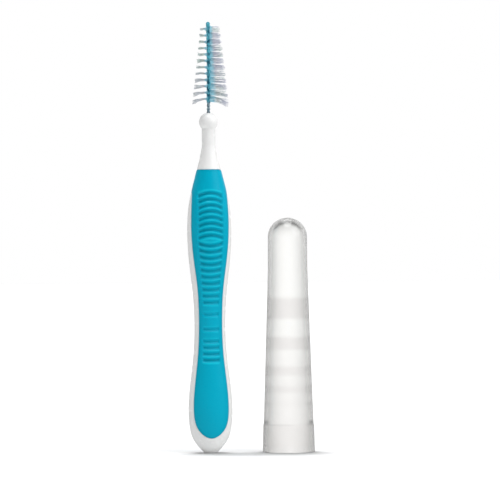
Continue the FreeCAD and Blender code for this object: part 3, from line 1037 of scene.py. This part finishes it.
def teal_rubber():
    """Painted shade, darker in the grooves and along the rim, and painted highlights, lighter on the ribs.
    """
    finish = Finish("teal_rubber", IOR=1.45, Specular_IOR_Level=0.09)
    tone = finish.mixed(finish.noise(RUBBER_BLOTCH, detail=2), *RUBBER_TONES)
    speckle = finish.span(finish.noise(RUBBER_SPECKLE, detail=5), *SPECKLE_SPAN)
    rubber = finish.mixed(speckle, tone, SPECKLE_TONE)
    # Painted highlights on the ribs and painted shade in the grooves and along the rim, from the mesh's
    # values
    painted_light = finish.node("ShaderNodeAttribute", attribute_name="painted_light").outputs["Fac"]
    rib_highlighted = finish.mixed(finish.span(painted_light, *RIB_HIGHLIGHT_SPAN), rubber, RIB_HIGHLIGHT_TONE)
    finish.colour(finish.mixed(finish.span(painted_light, *GROOVE_SHADE_SPAN), rib_highlighted, GROOVE_SHADE_TONE))
    finish.roughness(finish.varied(finish.noise(RUBBER_SMEAR, detail=4), *RUBBER_ROUGHNESS))
    finish.bump(finish.noise(RUBBER_GRAIN, detail=5, roughness=0.6), RUBBER_BUMP)
    return finish.material


def coated_wire():
    """Grey along the stem, flecked with a pale painted highlight, and a blotched teal coat in the brush."""
    finish = Finish("coated_wire", Metallic=0.15, IOR=1.5)
    coat_ends = ((brush_start + past) * MM for past in (-COAT_EASE, COAT_EASE))
    in_brush = finish.span(finish.axis("Z"), *coat_ends)
    grain = finish.noise(WIRE_GRAIN, detail=4, stretch=DRAWN_OUT)
    blotch = finish.span(finish.noise(WIRE_BLOTCH, detail=3), *WIRE_BLOTCH_SPAN)
    # Pale flecks of painted highlight along the stem
    highlight_fleck = finish.span(finish.noise(WIRE_HIGHLIGHT_FLECK, detail=2), *WIRE_HIGHLIGHT_SPAN)
    stem, brush = finish.mixed(highlight_fleck, *STEM_TONE_AND_HIGHLIGHT), finish.mixed(blotch, *BRUSH_TONES)
    finish.colour(finish.mixed(in_brush, stem, brush))
    finish.roughness(finish.varied(grain, *WIRE_ROUGHNESS))
    finish.bump(grain, WIRE_BUMP)
    return finish.material


def nylon():
    """Pale and a little clear; near the wire it has a painted reflection of the wire's teal."""
    finish = Finish("nylon", IOR=1.53, Alpha=0.8)
    across = finish.axis("X")
    right = finish.span(across, *(place * MM for place in RIGHT_FILAMENTS))
    # Painted reflection of the wire's teal near the wire: how far out it reaches, and where it is full
    brush_ends = (brush_start * MM, brush_end * MM)
    reflection_reach = finish.span(finish.axis("Z"), *brush_ends, WIRE_REFLECTION_BASE_REACH * MM, WIRE_REFLECTION_TIP_REACH * MM)
    full_reach = finish.combined("MULTIPLY", reflection_reach, WIRE_REFLECTION_FULL_SHARE)
    wire_reflection = finish.combined(
        "MULTIPLY",
        finish.span(across, *(place * MM for place in WIRE_REFLECTION_LEFT)),
        finish.span(across, full_reach, reflection_reach, 1.0, 0.0),
    )
    blotch = finish.span(finish.noise(NYLON_BLOTCH, detail=1), *NYLON_BLOTCH_SPAN)
    shade = finish.noise(NYLON_SHADE, detail=2)
    lavender, grey = finish.mixed(shade, *LAVENDER_TONES), finish.mixed(shade, *GREY_TONES)
    plain = finish.mixed(right, finish.mixed(blotch, *TUFT_TONES), finish.mixed(blotch, lavender, grey))
    finish.colour(finish.mixed(wire_reflection, plain, WIRE_REFLECTION_TONE))
    finish.roughness(finish.varied(shade, *NYLON_ROUGHNESS))
    return finish.material


def clear_plastic():
    """Clear over a fine haze, frosted at the collar and over the rings, and greyer edge-on by a painted
    shade.
    """
    finish = Finish("clear_plastic", IOR=1.49, Transmission_Weight=1.0)
    height = finish.axis("Z")
    collar_ends = ((cap_step_height + past) * MM for past in CAP_COLLAR_FROST)
    frosted = finish.span(height, *collar_ends, 1.0, 0.0)
    ease = CAP_FROST_EASE * MM
    for shares in CAP_RING_SHARES:
        low, high = (cap_height * share * MM for share in shares)
        band = finish.combined(
            "MULTIPLY",
            finish.span(height, low - ease, low + ease),
            finish.span(height, high - ease, high + ease, 1.0, 0.0),
        )
        frosted = finish.combined("MAXIMUM", frosted, band)
    clear = finish.varied(finish.noise(CAP_CLOUD, detail=3), *CAP_ROUGHNESS)
    frost = finish.combined("MULTIPLY", frosted, CAP_FROST_ROUGHNESS)
    finish.roughness(finish.combined("ADD", clear, frost))
    haze_ends = (cap_height * share * MM for share in CAP_HAZE_SHARES)
    hazy = finish.span(height, *haze_ends, CAP_HAZE, 0.0)
    plain = finish.mixed(finish.combined("MAXIMUM", frosted, hazy), *CAP_TONES)
    # Painted shade: greyer where the surface is seen edge-on
    edge = finish.node("ShaderNodeLayerWeight").outputs["Facing"]
    finish.colour(finish.mixed(edge, plain, CAP_EDGE_SHADE_TONE))
    finish.bump(finish.noise(CAP_RIPPLE, detail=2, stretch=DRAWN_OUT), CAP_BUMP)
    return finish.material


# Floor, light and camera

# The floor: its size, its tones as it is seen and as it sends light back to the object, and its own glow
FLOOR_SIZE = 6000
FLOOR_TONE, FLOOR_BOUNCE_TONE = linear(215, 215, 216), linear(236, 236, 236)
FLOOR_GLOW = 0.26

# The sky's brightness, below and above two heights of a direction
SKY_HEIGHTS = (0.05, 0.5)
LOW_SKY, HIGH_SKY = 0.55, 0.2

# The floor's painted shadow near what stands on it: how far off and in which direction it looks for that,
# how dark it gets, and the shares of open space from the darkest to the plain floor
CONTACT_REACH = 13.0
CONTACT_LEAN = (0.0, 0.8, 0.6)
CONTACT_SHADE = 0.42
OPEN_SHARES = (0.55, 0.92)

# Brightness of the studio's backdrop, and its shares at the left, at the right, towards the eye and
# overhead: first as it is reflected and then as it is seen through the cap, where the two differ
BACKDROP = 1.1
LEFT_SHARES = (0.52, 0.82)
RIGHT_SHARES = (0.58, 0.86)
FRONT_SHARES = (0.25, 1.0)
OVERHEAD_SHARE = 0.15

# The directions between which it dims, as parts of a unit vector
RIGHT_STARTS = (0.22, 0.4)
RIGHT_END = 0.6
LEFT_ENDS = (-0.36, 0.07)
FRONT_ENDS = (-0.6, 0.2)
OVERHEAD_ENDS = (0.3, 0.7)

# Azimuth to the right of the front, elevation, strength, and the angle that makes a lamp's light soft
LAMPS = {
    "key": (56, 36, 1.47, 52),
    "top": (0, 78, 1.5, 34),
    "back": (180, 74, 1.25, 40),
}

# The eye: its height, the place across that it looks at, the width that it takes in there, its distance,
# and its turn and its roll in degrees
EYE_HEIGHT = 36.4
AIM_ACROSS = 7.33
FRAME_WIDTH = 90.0
EYE_DISTANCE = 600.0
EYE_AZIMUTH = -5.0
EYE_ROLL = 0.42
SENSOR = 36.0
NEAR_CLIP, FAR_CLIP = 50, 20000


def studio(graph):
    """How bright the studio is, by direction, to reflections and to what is seen through the cap."""
    through = graph.seen("Transmission")
    left = graph.span(graph.axis("X"), *LEFT_ENDS, graph.chosen(through, *LEFT_SHARES), 1.0)
    right_start, right_share = graph.chosen(through, *RIGHT_STARTS), graph.chosen(through, *RIGHT_SHARES)
    right = graph.span(graph.axis("X"), right_start, RIGHT_END, 1.0, right_share)
    above = graph.span(graph.axis("Z"), *OVERHEAD_ENDS, BACKDROP, BACKDROP * OVERHEAD_SHARE)
    front = graph.span(graph.axis("Y"), *FRONT_ENDS, graph.chosen(through, *FRONT_SHARES), 1.0)
    sides = graph.combined("MULTIPLY", left, right)
    return graph.combined("MULTIPLY", graph.combined("MULTIPLY", sides, above), front)


def floor():
    """White to the eye, with a painted shadow close to what stands on it, most of all in front of it."""
    finish = Finish("pale_floor", Roughness=0.5, Specular_IOR_Level=0.0)
    finish.shader.inputs["Emission Color"].default_value = WHITE
    contact = finish.node("ShaderNodeAmbientOcclusion", samples=8)
    contact.inputs["Distance"].default_value = CONTACT_REACH * MM
    lean_back = finish.node("ShaderNodeCombineXYZ")
    for socket, value in zip(lean_back.inputs, CONTACT_LEAN):
        socket.default_value = value
    finish.link(lean_back.outputs["Vector"], contact.inputs["Normal"])
    # Painted shadow: the seen floor and its glow darken where something stands close by
    open_share = finish.span(contact.outputs["AO"], *OPEN_SHARES, CONTACT_SHADE, 1.0)
    seen_floor = finish.mixed(open_share, BLACK, FLOOR_TONE)
    through = finish.seen("Glossy", "Transmission")
    plain = finish.mixed(finish.seen("Diffuse"), seen_floor, FLOOR_BOUNCE_TONE)
    finish.colour(finish.mixed(through, plain, BLACK))
    finish.directed((cap_axis * MM, 0, 0))
    glow = finish.combined("MULTIPLY", open_share, FLOOR_GLOW)
    glow = finish.combined("MULTIPLY", finish.seen("Camera"), glow)
    finish.link(finish.chosen(through, glow, studio(finish)), finish.shader.inputs["Emission Strength"])
    bpy.ops.mesh.primitive_plane_add(size=FLOOR_SIZE * MM)
    plane = bpy.context.object
    plane.name = "floor"
    plane.data.materials.append(finish.material)


def world():
    """White to the eye, the studio to reflections and through the cap, and a soft sky as it lights."""
    surroundings = bpy.data.worlds.new("studio")
    bpy.context.scene.world = surroundings
    surroundings.use_nodes = True
    graph = Graph(surroundings.node_tree, "Generated")
    light = graph.span(graph.axis("Z"), *SKY_HEIGHTS, LOW_SKY, HIGH_SKY)
    strength = graph.chosen(graph.seen("Glossy", "Transmission"), light, studio(graph))
    strength = graph.chosen(graph.seen("Camera"), strength, 1.0)
    background = graph.tree.nodes["Background"]
    background.inputs["Color"].default_value = WHITE
    graph.link(strength, background.inputs["Strength"])


def sun(name, azimuth, elevation, strength, angle):
    """A distant lamp, which isn't seen through the cap."""
    lamp = bpy.data.lights.new(name, "SUN")
    lamp.energy = strength
    lamp.angle = math.radians(angle)
    holder = bpy.data.objects.new(name, lamp)
    bpy.context.scene.collection.objects.link(holder)
    turn, lift = math.radians(azimuth), math.radians(elevation)
    towards = Vector((math.sin(turn) * math.cos(lift), -math.cos(turn) * math.cos(lift), math.sin(lift)))
    holder.rotation_euler = towards.to_track_quat("Z", "Y").to_euler()
    holder.visible_transmission = False


def lights():
    for name, values in LAMPS.items():
        sun(name, *values)


def camera():
    azimuth = math.radians(EYE_AZIMUTH)
    towards_eye = Vector((math.sin(azimuth), -math.cos(azimuth), 0))
    data = bpy.data.cameras.new("camera")
    data.sensor_width = SENSOR
    data.lens = SENSOR * EYE_DISTANCE / FRAME_WIDTH
    data.clip_start, data.clip_end = NEAR_CLIP * MM, FAR_CLIP * MM
    eye = bpy.data.objects.new("camera", data)
    bpy.context.scene.collection.objects.link(eye)
    eye.location = (Vector((AIM_ACROSS, 0, EYE_HEIGHT)) + towards_eye * EYE_DISTANCE) * MM
    upright = (-towards_eye).to_track_quat("-Z", "Y").to_matrix()
    eye.rotation_euler = (upright @ Matrix.Rotation(math.radians(-EYE_ROLL), 3, "Z")).to_euler()
    bpy.context.scene.camera = eye


# The whole object

def build():
    core = handle_core(white_plastic())
    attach(core, "handle")
    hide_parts("handle_core")
    grip = rubber_grip(teal_rubber())
    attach(grip, "handle")
    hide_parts("rubber_grip")
    wire = twisted_wire(coated_wire())
    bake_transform(wire)
    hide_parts("twisted_wire")
    filament_material = nylon()
    for number, node in enumerate(row_nodes):
        filament_row(number, node, filament_material)
    cap = clear_cap(clear_plastic())
    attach(cap, "cap")
    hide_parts("cap")


build()
floor()
world()
lights()
camera()
bpy.context.scene.view_settings.view_transform = "Standard"
